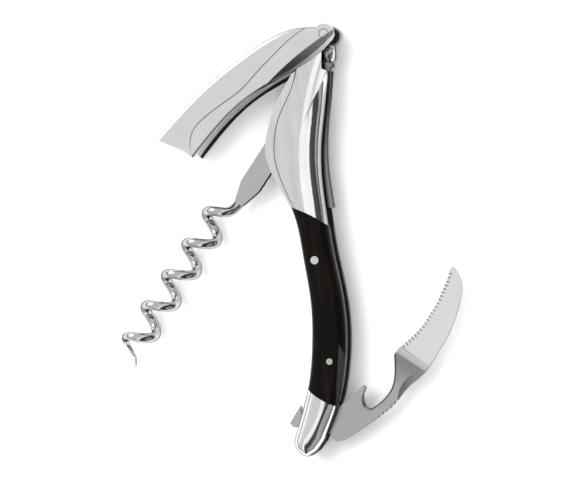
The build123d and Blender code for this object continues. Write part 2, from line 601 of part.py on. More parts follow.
with BuildPart() as knife:
    with BuildSketch(Plane.XY.offset(plate_low)):
        with Locations(KNIFE_PIVOT):
            Circle(KNIFE_LOBE)
            for flat in knife_flats:
                with Locations(Location((0, 0, 0), (0, 0, flat))):
                    with Locations((KNIFE_FLAT + KNIFE_LOBE, 0)):
                        Rectangle(2 * KNIFE_LOBE, 4 * KNIFE_LOBE, mode=Mode.SUBTRACT)
        with BuildLine():
            Spline(*KNIFE_BACK)
            Polyline(KNIFE_BACK[-1], *HOOK)
            notch_edge = Spline(*NOTCH)
            Line(NOTCH[-1], EDGE[0])
            cutting_edge = Spline(*EDGE)
            Polyline(EDGE[-1], KNIFE_TIP, SPINE[0])
            Spline(*SPINE)
            Polyline(SPINE[-1], *HEEL, KNIFE_PIVOT, KNIFE_BACK[0])
        make_face()
    extrude(amount=PLATE)
    for face in (knife.faces().sort_by(Axis.Z)[0], knife.faces().sort_by(Axis.Z)[-1]):
        chamfer([edge for edge in face.edges() if abs(edge.length - notch_edge.length) < 0.01], ARM_BEVEL)
    grind_origin = (chord[0] * GRIND_START, chord[1] * GRIND_START, mid)
    with BuildSketch(Plane(grind_origin, x_dir=across_blade, z_dir=chord)) as grind:
        with BuildLine():
            Polyline(
                (GRIND_SPINE - 20, BLADE_T / 2),
                (GRIND_SPINE, BLADE_T / 2),
                (GRIND_EDGE, BLADE_EDGE_T / 2),
                (GRIND_EDGE + 20, BLADE_EDGE_T / 2),
                (GRIND_EDGE + 20, PLATE),
                (GRIND_SPINE - 20, PLATE),
                close=True,
            )
        make_face()
        mirror(about=Plane.XZ)
    extrude(amount=40, mode=Mode.SUBTRACT)
    ramp_origin = (grind_origin[0] + across_blade[0] * -60, grind_origin[1] + across_blade[1] * -60, mid)
    with BuildSketch(Plane(ramp_origin, x_dir=chord, z_dir=across_blade)):
        with BuildLine():
            Polyline((-GRIND_RAMP, PLATE / 2), (0.4, BLADE_T / 2), (0.4, PLATE))
            Polyline((0.4, PLATE), (-GRIND_RAMP, PLATE), (-GRIND_RAMP, PLATE / 2))
        make_face()
        mirror(about=Plane.XZ)
    extrude(amount=25, mode=Mode.SUBTRACT)
    ball_height = (SCALLOP_BALL**2 - SCALLOP_R**2) ** 0.5 + PLATE / 2
    with Locations((*SCALLOP_CENTRE, mid + ball_height), (*SCALLOP_CENTRE, mid - ball_height)):
        Sphere(SCALLOP_BALL, mode=Mode.SUBTRACT)
    with Locations(*[(*place, mid) for place in FILE_MARKS]):
        Cylinder(FILE_MARK_R, PLATE, mode=Mode.SUBTRACT)
    places = [(i + 0.7) / (SERRATIONS + 0.4) for i in range(SERRATIONS)]
    teeth = [inset_curve(cutting_edge, SERRATION_DEPTH - SERRATION_R, t, t, 2)[0] for t in places]
    with Locations(*[(p.X, p.Y, mid) for p in teeth]):
        Cylinder(SERRATION_R, PLATE, mode=Mode.SUBTRACT)
    with Locations((*KNIFE_PIVOT, mid)):
        Cylinder(KNIFE_PIN_R + RUNNING, THICKNESS, mode=Mode.SUBTRACT)
knife.part.label = "knife"
export_step(knife.part, "parts/knife.step")
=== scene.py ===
"""Looks of a lever corkscrew with a horn-scaled handle, a screw and a foil knife.

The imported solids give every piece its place. This script finishes the solids in polished steel,
satin steel and dark horn, adds the pieces that need finer surfaces, and sets up a plain studio.
"""

import logging
import math
from dataclasses import dataclass, replace
from enum import Enum
from typing import Sequence

import bpy
import numpy as np
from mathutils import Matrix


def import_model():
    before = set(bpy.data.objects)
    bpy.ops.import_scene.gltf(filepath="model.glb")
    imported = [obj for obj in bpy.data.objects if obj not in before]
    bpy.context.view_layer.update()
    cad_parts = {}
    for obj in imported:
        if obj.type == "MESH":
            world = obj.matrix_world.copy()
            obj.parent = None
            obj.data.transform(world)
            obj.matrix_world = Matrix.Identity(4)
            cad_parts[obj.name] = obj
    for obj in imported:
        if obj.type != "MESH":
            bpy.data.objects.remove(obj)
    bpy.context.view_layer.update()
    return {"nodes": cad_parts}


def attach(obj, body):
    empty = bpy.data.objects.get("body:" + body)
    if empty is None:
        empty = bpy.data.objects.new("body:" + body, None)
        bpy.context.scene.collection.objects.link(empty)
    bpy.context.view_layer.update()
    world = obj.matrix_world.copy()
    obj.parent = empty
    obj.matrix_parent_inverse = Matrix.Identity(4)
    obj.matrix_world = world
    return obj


LOG = logging.getLogger("corkscrew")
MM = 0.001

Point = tuple[float, float, float]
Pair = tuple[float, float]  # a place in plan, or the two ends of a range
Colour = tuple[float, float, float, float]
Array = np.ndarray
Socket = bpy.types.NodeSocket

UP: Point = (0.0, 0.0, 1.0)
BLACK: Colour = (0.0, 0.0, 0.0, 1.0)
THICKNESS = 15.0  # of the whole object, in millimetres
MIDDLE = THICKNESS / 2
LEVER_PIN: Pair = (10.9, 58.2)
MERGE = 0.002 * MM  # corners nearer than this are one when a solid is shaded
FLAT_WEIGHT = 60  # how strongly large faces keep their shading flat
FINE_CORNER = 14.0  # the sharpest turn shaded smooth on pieces with flat ground faces, in degrees
MIX_BELOW, MIX_ABOVE, MIX_RESULT = 6, 7, 2  # the colour sockets of a Mix node
MIX_FIRST, MIX_SECOND = 1, 2  # the inputs of a Mix Shader node

BELLY_MARGIN = ((3.0, 50.0), (1.2, 42.5), (-2.3, 34.6), (-3.6, 28.0), (-3.5, 23.0), (-0.8, 14.8), (2.2, 8.0))
LEVER_PANEL = (
    (5.8, 59.85),
    (1.6, 56.9),
    (-3.5, 52.1),
    (-7.7, 47.9),
    (-13.3, 42.0),
    (-18.6, 38.2),
    (-23.4, 34.6),
    (-26.6, 31.2),
    (-27.6, 27.4),
    (-27.25, 24.4),
)
BLADE_EDGE = (
    (31.8, -30.5),
    (33.7, -28.8),
    (36.0, -26.6),
    (38.2, -24.2),
    (40.1, -21.2),
    (41.8, -18.5),
    (43.1, -15.7),
    (44.3, -13.0),
    (45.1, -11.0),
    (45.7, -8.9),
)


class Body(str, Enum):
    """The rigid bodies that the added pieces ride on."""

    HANDLE = "handle"
    LEVER = "lever_arm"
    BLADE = "blade"
    SCREW_SPRING = "screw_spring"


class Slot(str, Enum):
    """The record's material slots, one named on each added piece."""

    BOLSTER = "polished_bolster"
    LEVER = "polished_lever"
    BLADE = "satin_blade"
    SPRING = "spring_steel"


def grey(value: float, warmth: float = 0.0) -> Colour:
    """A grey as a colour, brassier as the warmth rises from 0."""
    return (value, value * (1.0 - 0.4 * warmth), value * (1.003 - warmth), 1.0)


# ---------------------------------------------------------------- node graphs


class Tree:
    """A node tree with short calls for adding and joining nodes."""

    def __init__(self, tree: bpy.types.NodeTree, coordinates: str) -> None:
        """Take a tree, and the coordinates that its patterns are read in.

        Args:
            tree: the node tree to fill.
            coordinates: the name of an output of the Texture Coordinate node.
        """
        self.nodes = tree.nodes
        self.links = tree.links
        self.place = self.add("ShaderNodeTexCoord").outputs[coordinates]

    def add(self, kind: str, **settings: object) -> bpy.types.Node:
        """Add a node and set its properties.

        Args:
            kind: the node's type name.
            **settings: properties of the node itself.

        Returns:
            The new node.
        """
        node = self.nodes.new(kind)
        for key, value in settings.items():
            setattr(node, key, value)
        return node

    def join(self, source: Socket, target: Socket) -> None:
        """Link one socket to another."""
        self.links.new(source, target)

    def feed(self, target: Socket, value: Socket | float | Sequence[float]) -> None:
        """Give an input a value.

        Args:
            target: the input.
            value: another node's output to link to it, or a constant to set on it.
        """
        if isinstance(value, bpy.types.NodeSocket):
            self.join(value, target)
        else:
            target.default_value = value

    def spot(self, turn: float = 0.0, scale: Point = (1.0, 1.0, 1.0)) -> Socket:
        """Coordinates read along axes turned in plan, then stretched for a pattern.

        Args:
            turn: how far the axes are turned, in degrees.
            scale: stretch along each turned axis.

        Returns:
            The vector socket.
        """
        mapping = self.add("ShaderNodeMapping", vector_type="TEXTURE")
        mapping.inputs["Rotation"].default_value = (0.0, 0.0, math.radians(turn))
        mapping.inputs["Scale"].default_value = tuple(1.0 / part for part in scale)
        self.join(self.place, mapping.inputs["Vector"])
        return mapping.outputs["Vector"]

    def noise(self, where: Socket, scale: float, detail: float = 3.0, rough: float = 0.5) -> Socket:
        """Noise over a vector.

        Args:
            where: the vector socket.
            scale: noise cells per metre.
            detail: octaves.
            rough: share of the finer octaves.

        Returns:
            The factor socket.
        """
        node = self.add("ShaderNodeTexNoise")
        node.inputs["Scale"].default_value = scale
        node.inputs["Detail"].default_value = detail
        node.inputs["Roughness"].default_value = rough
        self.join(where, node.inputs["Vector"])
        return node.outputs["Fac"]

    def spread(
        self, value: Socket, low: float, high: float, a: float = 0.0, b: float = 1.0, kind: str = "LINEAR"
    ) -> Socket:
        """Carry a value from one range to another, clamped.

        Args:
            value: the socket to carry.
            low: the value that becomes a.
            high: the value that becomes b.
            a: the result at low.
            b: the result at high.
            kind: how the values between are carried.

        Returns:
            The result socket.
        """
        node = self.add("ShaderNodeMapRange", interpolation_type=kind)
        for key, number in zip(("From Min", "From Max", "To Min", "To Max"), (low, high, a, b)):
            node.inputs[key].default_value = number
        self.join(value, node.inputs["Value"])
        return node.outputs["Result"]

    def beyond(self, distance: Socket, start: float, end: float) -> Socket:
        """A mask that is 0 up to a start and 1 from an end on, both in millimetres."""
        return self.spread(distance, start * MM, end * MM)

    def within(self, distance: Socket, start: float, end: float) -> Socket:
        """A mask that is 1 up to a start and 0 from an end on, both in millimetres."""
        return self.spread(distance, start * MM, end * MM, 1.0, 0.0)

    def shades(self, value: Socket, stops: Sequence[tuple[float, Colour]]) -> Socket:
        """Turn a value into a colour through a ramp.

        Args:
            value: the socket that picks the colour.
            stops: (position, colour) pairs in rising order.

        Returns:
            The colour socket.
        """
        ramp = self.add("ShaderNodeValToRGB")
        band = ramp.color_ramp
        while len(band.elements) < len(stops):
            band.elements.new(0.5)
        for element, (position, colour) in zip(band.elements, stops):
            element.position = position
            element.color = colour
        self.join(value, ramp.inputs["Fac"])
        return ramp.outputs["Color"]

    def between(self, grain: Socket, dark: float, light: float) -> Socket:
        """A grey that follows a grain, from a dark one at 0.3 to a light one at 0.7."""
        return self.shades(grain, [(0.3, grey(dark)), (0.7, grey(light))])

    def dot(self, vector: Socket, direction: Point) -> Socket:
        """The share of a vector along a direction, v . direction."""
        node = self.add("ShaderNodeVectorMath", operation="DOT_PRODUCT")
        node.inputs[1].default_value = direction
        self.join(vector, node.inputs[0])
        return node.outputs["Value"]

    def along(self, direction: Point) -> Socket:
        """Distance along a direction, p . direction, in metres."""
        return self.dot(self.place, direction)

    def away(self, centre: Pair) -> Socket:
        """Distance in plan from an upright axis, hypot(x - cx, y - cy), in metres.

        Args:
            centre: where the axis stands, in millimetres.

        Returns:
            The distance socket.
        """
        shift = self.add("ShaderNodeVectorMath", operation="MULTIPLY_ADD")
        shift.inputs[1].default_value = (1.0, 1.0, 0.0)
        shift.inputs[2].default_value = (-centre[0] * MM, -centre[1] * MM, 0.0)
        self.join(self.place, shift.inputs[0])
        length = self.add("ShaderNodeVectorMath", operation="LENGTH")
        self.join(shift.outputs["Vector"], length.inputs[0])
        return length.outputs["Value"]

    def calc(self, kind: str, first: Socket, second: Socket | float = 0.0) -> Socket:
        """One sum on one or two values.

        Args:
            kind: the sum's name.
            first: the first value.
            second: the second value, as a socket or a number.

        Returns:
            The result socket.
        """
        node = self.add("ShaderNodeMath", operation=kind)
        self.join(first, node.inputs[0])
        self.feed(node.inputs[1], second)
        return node.outputs["Value"]

    def blend(self, mask: Socket, below: Socket | Colour, above: Socket | Colour) -> Socket:
        """One colour where a mask is 0 and another where it is 1.

        Args:
            mask: the mask socket.
            below: the colour at 0.
            above: the colour at 1.

        Returns:
            The colour socket.
        """
        node = self.add("ShaderNodeMix", data_type="RGBA")
        self.join(mask, node.inputs["Factor"])
        self.feed(node.inputs[MIX_BELOW], below)
        self.feed(node.inputs[MIX_ABOVE], above)
        return node.outputs[MIX_RESULT]


class Graph(Tree):
    """A material's node tree around its Principled shader."""

    def __init__(self, name: str) -> None:
        """Start an empty material.

        Args:
            name: the material's name.
        """
        self.material = bpy.data.materials.new(name)
        self.material.use_nodes = True
        super().__init__(self.material.node_tree, "Object")
        self.shader = self.nodes["Principled BSDF"]
        self.bump: bpy.types.Node | None = None

    def put(self, entry: str, value: Socket | float | Sequence[float]) -> None:
        """Give one of the shader's inputs a value."""
        self.feed(self.shader.inputs[entry], value)

    def relief(self, height: Socket, strength: float, distance: float) -> None:
        """Bump the surface by a height, over any bump before it.

        Args:
            height: the height socket.
            strength: share of the bump, 0 to 1.
            distance: how deep a height of one is, in metres.
        """
        bump = self.add("ShaderNodeBump")
        bump.inputs["Strength"].default_value = strength
        bump.inputs["Distance"].default_value = distance
        self.join(height, bump.inputs["Height"])
        if self.bump is not None:
            self.join(self.bump.outputs["Normal"], bump.inputs["Normal"])
        self.bump = bump
        self.put("Normal", bump.outputs["Normal"])


# ---------------------------------------------------------------- finishes


@dataclass(frozen=True)
class Finish:
    """A material that is worked out from its fields."""

    name: str

    def make(self) -> bpy.types.Material:
        """Build the material.

        Returns:
            The new material.
        """
        graph = Graph(self.name)
        graph.put("Base Color", self.fill(graph))
        return graph.material

    def fill(self, graph: Graph) -> Socket:
        """Set up everything but the colour.

        Args:
            graph: the material's graph.

        Returns:
            The colour socket.
        """
        raise NotImplementedError


@dataclass(frozen=True)
class PolishedSteel(Finish):
    """Buffed steel: a mirror with fine polishing lines and faint ripples."""

    shade: float = 0.88
    rough: float = 0.09
    rough_ends: Pair = (0.7, 1.5)
    line_angle: float = 0.0
    line_grain: Point = (60.0, 900.0, 300.0)
    streak_grain: Point = (26.0, 620.0, 300.0)
    cloud_grain: float = 140.0
    ripple: float = 0.02 * MM
    ripple_share: float = 0.35
    streak: float = 0.0
    mottle: float = 0.05
    rim: float = 0.05
    warmth: float = 0.0

    def fill(self, graph: Graph) -> Socket:
        """Set up roughness and ripples, and a tone that drifts with them.

        Args:
            graph: the material's graph.

        Returns:
            The colour socket.
        """
        graph.put("Metallic", 1.0)
        graph.put("Specular Tint", grey(self.rim))
        lines = graph.noise(graph.spot(self.line_angle, self.line_grain), 4.0, detail=4.0, rough=0.6)
        cloud = graph.noise(graph.spot(), self.cloud_grain)
        streaks = graph.noise(graph.spot(self.line_angle, self.streak_grain), 1.0, detail=2.0)
        swell = graph.calc("ADD", graph.calc("MULTIPLY", streaks, self.streak), cloud)
        middle, reach = 0.5 * (1.0 + self.streak), 0.2 * (1.0 + self.streak)
        tone = graph.spread(swell, middle - reach, middle + reach)
        smooth, scratched = (self.rough * end for end in self.rough_ends)
        graph.put("Roughness", graph.spread(lines, 0.3, 0.75, smooth, scratched))
        graph.relief(swell, self.ripple_share, self.ripple)
        dull = grey(self.shade * (1.0 - self.mottle), self.warmth)
        return graph.shades(tone, [(0.0, dull), (1.0, grey(self.shade, self.warmth))])


@dataclass(frozen=True)
class CrownedSteel(PolishedSteel):
    """A bolster's steel, buffed to a soft crown towards the handle's back.

    The crown is a height in the relief: it rises inwards by a smooth step across an arc, which runs where
    the flat meets the rounding. The side is 1 where the arc's centre is outside the handle and -1 inside.
    A strip of painted shade lies outside the arc, along the back, dimming the reflection there.
    """

    arc: Pair = (0.0, 0.0)
    radius: float = 1.0
    side: float = 1.0
    inner: float = 3.8
    outer: float = 1.1
    rise: float = 0.9
    painted_shade_at: float = 1.6
    back_painted_shade: float = 1.0
    painted_shade_soft: float = 0.3

    def fill(self, graph: Graph) -> Socket:
        """Add the crown and the strip of painted shade to the plain finish.

        Args:
            graph: the material's graph.

        Returns:
            The colour socket.
        """
        plain = super().fill(graph)
        reach = graph.away(self.arc)
        low = (self.radius - self.side * self.outer) * MM
        high = (self.radius + self.side * self.inner) * MM
        graph.relief(graph.spread(reach, low, high, kind="SMOOTHSTEP"), 1.0, self.rise * MM)
        # painted shade: the colour is dimmed outside the arc, along the back
        back = self.radius - self.side * self.painted_shade_at
        tone = graph.spread(reach, (back - self.painted_shade_soft) * MM, back * MM, self.back_painted_shade)
        return graph.blend(tone, BLACK, plain)


@dataclass(frozen=True)
class HollowedSteel(PolishedSteel):
    """The lever's steel, with painted shade in the hollow that the grinding wheel leaves by the hinge.

    The hollow lies inside an arc, and a painted highlight runs as a bright lip along its lower edge, outside
    another. The pin shows as a fine worn ring. The channel is left as milled, with a painted shadow along its
    lower edge, inside a third arc. All arcs are given by centre and radius, in millimetres, and fade over the
    soft width on each side.
    """

    soft: float = 0.1
    hollow: Pair = (59.2, -17.1)
    hollow_at: float = 88.95
    hollow_painted_shade: float = 0.34
    hollow_painted_shade_low: float = 0.55
    lip_highlight: Pair = (-32.1, 101.9)
    lip_highlight_at: float = 63.3
    lip_highlight_tone: float = 0.95
    seam: float = 1.3
    seam_shades: Pair = (0.2, 0.3)
    wall_inside: float = 6.1
    wall_play: float = 0.02
    lying: Pair = (0.8, 0.9)
    channel_shade: float = 0.95
    channel_rough: float = 0.5
    shadow_edge_arc: Pair = (30.0, -15.1)
    shadow_edge_at: float = 69.55
    shadow_edge_shades: Pair = (0.02, 0.05)
    grain: Point = (300.0, 1500.0, 300.0)
    grain_dark: float = 0.85

    def fill(self, graph: Graph) -> Socket:
        """Shade the lever's outside and its channel.

        Args:
            graph: the material's graph.

        Returns:
            The colour socket.
        """
        plain = super().fill(graph)
        grain = graph.noise(graph.spot(self.line_angle, self.grain), 2.0, detail=4.0, rough=0.6)
        channel = self.channel(graph)
        polish = graph.shader.inputs["Roughness"].links[0].from_socket
        dull = graph.calc("MULTIPLY", channel, self.channel_rough)
        graph.put("Roughness", graph.calc("MAXIMUM", polish, dull))
        return graph.blend(channel, self.outside(graph, plain, grain), self.inside(graph, grain))

    def outside(self, graph: Graph, plain: Socket, grain: Socket) -> Socket:
        """The outer faces' colour, with painted shade in the hollow, a painted highlight along its lip and
        the ring of the pin.

        Args:
            graph: the material's graph.
            plain: the polished steel's colour.
            grain: the grain along the lever.

        Returns:
            The colour socket.
        """
        # painted shade: the hollow is coloured darker than the flat face
        dark = graph.between(grain, self.hollow_painted_shade * self.hollow_painted_shade_low, self.hollow_painted_shade)
        # painted highlight: a bright lip along the hollow's lower edge
        lip_highlight_colour = graph.between(grain, self.lip_highlight_tone * self.grain_dark, self.lip_highlight_tone)
        lip_highlight = graph.beyond(graph.away(self.lip_highlight), self.lip_highlight_at - self.soft, self.lip_highlight_at + self.soft)
        hollow = graph.within(graph.away(self.hollow), self.hollow_at - self.soft, self.hollow_at + self.soft)
        around = graph.away(LEVER_PIN)
        past = graph.beyond(around, self.seam - self.soft, self.seam)
        before = graph.within(around, self.seam + self.soft, self.seam + 2 * self.soft)
        ring = graph.calc("MULTIPLY", past, before)
        ground = graph.blend(hollow, plain, graph.blend(lip_highlight, dark, lip_highlight_colour))
        return graph.blend(ring, ground, graph.between(grain, *self.seam_shades))

    def inside(self, graph: Graph, grain: Socket) -> Socket:
        """The channel's colour, with a painted shadow along its edge.

        Args:
            graph: the material's graph.
            grain: the grain along the lever.

        Returns:
            The colour socket.
        """
        milled = graph.between(grain, self.channel_shade * self.grain_dark, self.channel_shade)
        # painted shadow: the channel is near black along its lower edge
        edge = graph.within(graph.away(self.shadow_edge_arc), self.shadow_edge_at - self.soft, self.shadow_edge_at + self.soft)
        return graph.blend(edge, milled, graph.between(grain, *self.shadow_edge_shades))

    def channel(self, graph: Graph) -> Socket:
        """A mask of the walls' inner faces: those that lie flat, nearer the middle than the walls are.

        Args:
            graph: the material's graph.

        Returns:
            The mask socket, 1 in the channel.
        """
        off = graph.calc("ABSOLUTE", graph.calc("SUBTRACT", graph.along(UP), MIDDLE * MM))
        wall = self.wall_inside + self.wall_play
        near = graph.within(off, wall, wall + self.soft)
        normal = graph.add("ShaderNodeNewGeometry").outputs["True Normal"]
        lying = graph.spread(graph.calc("ABSOLUTE", graph.dot(normal, UP)), *self.lying)
        return graph.calc("MULTIPLY", near, lying)


@dataclass(frozen=True)
class SatinSteel(Finish):
    """Ground steel: grinding lines across the piece under a satin sheen."""

    shade: float = 0.72
    rough: float = 0.28
    rough_ends: Pair = (0.92, 1.1)
    line_angle: float = 0.0
    line_grain: Point = (80.0, 2600.0, 900.0)
    line_dark: float = 0.86
    cloud_grain: float = 180.0
    depth: float = 0.008 * MM
    depth_share: float = 0.5
    rim: float = 0.25

    def fill(self, graph: Graph) -> Socket:
        """Set up roughness and grinding lines.

        Args:
            graph: the material's graph.

        Returns:
            The colour socket.
        """
        graph.put("Metallic", 1.0)
        graph.put("Specular Tint", grey(self.rim))
        lines = graph.noise(graph.spot(self.line_angle, self.line_grain), 3.0, detail=5.0, rough=0.65)
        cloud = graph.noise(graph.spot(), self.cloud_grain, detail=4.0, rough=0.55)
        smooth, scratched = (self.rough * end for end in self.rough_ends)
        graph.put("Roughness", graph.spread(cloud, 0.3, 0.7, smooth, scratched))
        graph.relief(lines, self.depth_share, self.depth)
        return graph.shades(lines, [(0.25, grey(self.shade * self.line_dark)), (0.75, grey(self.shade))])


@dataclass(frozen=True)
class KnifeSteel(SatinSteel):
    """The knife's steel: a bright ground blade beyond the heel, and a darker forged arm before it.

    The heel is the line p . heel = heel_at in plan, in millimetres. A strip of painted shade lies before it,
    lighter towards the heel, and painted shade darkens the arm towards the strip over the neck's length.
    """

    heel: Point = (0.542, 0.84, 0.0)
    heel_at: float = -8.4
    soft: float = 0.1
    strip: float = 1.9
    strip_painted_shade: float = 0.55
    strip_painted_lift: float = 1.3
    arm_shade: float = 0.5
    arm_angle: float = 33.0
    arm_grain: Point = (90.0, 270.0, 90.0)
    arm_mottle: float = 0.35
    arm_ends: Pair = (1.1, 0.92)
    neck_painted_shade: float = 0.3
    neck_length: float = 9.0

    def fill(self, graph: Graph) -> Socket:
        """Colour the arm, with painted shade from its dark neck to the tang, and the strip of painted shade
        at the heel.

        Args:
            graph: the material's graph.

        Returns:
            The colour socket.
        """
        blade = super().fill(graph)
        way = graph.along(self.heel)
        start = self.heel_at - self.strip
        # painted shade: the arm darkens towards the strip over the neck's length
        fade = graph.beyond(way, start - self.neck_length, start)
        cloud = graph.noise(graph.spot(self.arm_angle, self.arm_grain), 1.0)
        mixed = graph.calc("ADD", graph.calc("MULTIPLY", cloud, self.arm_mottle), fade)
        light, plain = (grey(self.arm_shade * end) for end in self.arm_ends)
        arm = graph.shades(mixed, [(0.05, light), (0.35, plain), (1.0, grey(self.neck_painted_shade))])
        # painted shade on the grind's ramp before the heel, lighter towards the heel
        sheen = graph.beyond(way, start, self.heel_at)
        lifted = grey(self.strip_painted_shade * self.strip_painted_lift)
        strip = graph.shades(sheen, [(0.0, grey(self.strip_painted_shade)), (1.0, lifted)])
        inner = graph.blend(graph.beyond(way, start - self.soft, start + self.soft), arm, strip)
        ground = graph.beyond(way, self.heel_at - self.soft, self.heel_at + self.soft)
        return graph.blend(ground, inner, blade)


@dataclass(frozen=True)
class DarkHorn(Finish):
    """Polished black horn with faint brown fibres, and a painted reflection: a paler band along the back near
    the tail.

    The painted reflection lies beyond a line across the handle, where p . across reaches a set distance, and
    starts below a slanted line, where p . slant reaches a set height, both in millimetres.
    """

    deep: Colour = (0.004, 0.0035, 0.003, 1.0)
    fibre: Colour = (0.010, 0.0055, 0.004, 1.0)
    # colour of the painted reflection band near the tail
    painted_reflection: Colour = (0.040, 0.042, 0.035, 1.0)
    painted_reflection_dim: float = 0.8
    line_angle: float = 8.0
    line_grain: Point = (900.0, 22.0, 500.0)
    cloud_grain: Point = (160.0, 30.0, 160.0)
    across: Point = (0.998, -0.056, 0.0)
    painted_reflection_at: float = 16.7
    painted_reflection_soft: float = 0.4
    slant: Point = (2.3, 1.0, 0.0)
    painted_reflection_top: float = 5.4
    painted_reflection_fade: float = 0.5
    rough: Pair = (0.1, 0.2)
    shine: float = 0.05
    depth: float = 0.02 * MM
    depth_share: float = 0.3

    def fill(self, graph: Graph) -> Socket:
        """Set up the horn's gloss, its fibres and the painted reflection.

        Args:
            graph: the material's graph.

        Returns:
            The colour socket.
        """
        streaks = graph.noise(graph.spot(self.line_angle, self.line_grain), 1.0, detail=5.0, rough=0.6)
        clouds = graph.noise(graph.spot(self.line_angle, self.cloud_grain), 1.0, detail=2.0)
        graph.put("Roughness", graph.spread(streaks, 0.3, 0.7, *self.rough))
        graph.put("Specular IOR Level", self.shine)
        graph.relief(streaks, self.depth_share, self.depth)
        stops = [(0.0, self.deep), (0.27, self.deep), (0.36, self.fibre), (0.42, self.deep)]
        black = graph.shades(graph.calc("MULTIPLY", streaks, clouds), stops)
        # painted reflection: a paler band along the horn's back near the tail
        painted_reflection_low = tuple(self.painted_reflection_dim * part for part in self.painted_reflection)
        painted_reflection_colour = graph.shades(streaks, [(0.3, painted_reflection_low), (0.7, self.painted_reflection)])
        behind = graph.beyond(graph.along(self.across), self.painted_reflection_at, self.painted_reflection_at + self.painted_reflection_soft)
        slant = graph.along(self.slant)
        below = graph.within(slant, self.painted_reflection_top - self.painted_reflection_fade, self.painted_reflection_top + self.painted_reflection_fade)
        return graph.blend(graph.calc("MULTIPLY", behind, below), black, painted_reflection_colour)


# ---------------------------------------------------------------- dressing the solids


def smooth_solid(piece: bpy.types.Object, angle: float) -> None:
    """Shade a solid smooth where its faces meet gently, and keep its real corners.

    Args:
        piece: the solid, whose mesh stays as it is.
        angle: the sharpest turn that is still shaded smooth, in degrees.
    """
    piece.data.polygons.foreach_set("use_smooth", np.ones(len(piece.data.polygons), dtype=bool))
    weld = piece.modifiers.new("join", "WELD")
    weld.merge_threshold = MERGE
    split = piece.modifiers.new("corners", "EDGE_SPLIT")
    split.split_angle = math.radians(angle)
    split.use_edge_sharp = False
    flat = piece.modifiers.new("flats", "WEIGHTED_NORMAL")
    flat.keep_sharp = True
    flat.weight = FLAT_WEIGHT


def dress(piece: bpy.types.Object, material: bpy.types.Material) -> None:
    """Give a piece one material in all of its slots.

    Args:
        piece: the object.
        material: its material.
    """
    if not piece.material_slots:
        piece.data.materials.append(material)
    for slot in piece.material_slots:
        slot.material = material


@dataclass
class SolidGroup:
    """Solids that keep their own shape and take one finish."""

    names: tuple[str, ...]
    finish: Finish
    corner: float = 26.0

    def build(self, nodes: dict[str, bpy.types.Object]) -> None:
        """Finish each solid.

        Args:
            nodes: the frame's solids by name.
        """
        material = self.finish.make()
        for name in self.names:
            smooth_solid(nodes[name], self.corner)
            dress(nodes[name], material)
            LOG.info("%s: %s", name, self.finish.name)


# ---------------------------------------------------------------- surfaces worked out with arrays


def show(name: str, data: bpy.types.ID) -> bpy.types.Object:
    """Make an object of some data and link it to the scene.

    Args:
        name: the object's name.
        data: its mesh, light or camera.

    Returns:
        The new object.
    """
    thing = bpy.data.objects.new(name, data)
    bpy.context.scene.collection.objects.link(thing)
    return thing


def through(points: Array, count: int) -> Array:
    """A smooth line through points: the natural cubic spline on chord-length knots.

    Between knots i and i + 1, p = a p_i + b p_i+1 + ((a^3 - a) m_i + (b^3 - b) m_i+1) h^2 / 6, where a and b
    are the shares of the way left and gone, and the second derivatives m solve the spline's linear system.

    Args:
        points: the points, one row each.
        count: how many points the line gets.

    Returns:
        The line's points, one row each.
    """
    points = np.asarray(points, dtype=float)
    h = np.linalg.norm(np.diff(points, axis=0), axis=1)
    knots = np.concatenate(([0.0], np.cumsum(h)))
    system = np.diag(np.concatenate(([1.0], 2 * (h[:-1] + h[1:]), [1.0])))
    system += np.diag(np.concatenate((h[:-1], [0.0])), -1) + np.diag(np.concatenate(([0.0], h[1:])), 1)
    slopes = np.diff(points, axis=0) / h[:, None]
    right = np.zeros_like(points)
    right[1:-1] = 6 * np.diff(slopes, axis=0)
    m = np.linalg.solve(system, right)
    t = np.linspace(0.0, knots[-1], count)
    k = np.clip(np.searchsorted(knots, t, side="right") - 1, 0, len(h) - 1)
    a = ((knots[k + 1] - t) / h[k])[:, None]
    b = 1.0 - a
    bend = ((a**3 - a) * m[k] + (b**3 - b) * m[k + 1]) * (h[k] ** 2)[:, None] / 6
    return a * points[k] + b * points[k + 1] + bend


def direction(line: Array) -> Array:
    """The unit direction of a plan line at each of its points, dp / |dp|."""
    way = np.gradient(line, axis=0)
    return way / np.linalg.norm(way, axis=1)[:, None]


def beside(line: Array, distance: float) -> Array:
    """A plan line moved to its left, p + distance * (-t_y, t_x), where t is its unit direction.

    Args:
        line: points of the line, one row each.
        distance: how far to the left.

    Returns:
        The moved line.
    """
    way = direction(line)
    return line + distance * np.stack((-way[:, 1], way[:, 0]), axis=1)


def around_once(count: int) -> Array:
    """Angles once round a ring, v = 2 pi j / count."""
    return np.linspace(0.0, 2 * np.pi, count, endpoint=False)


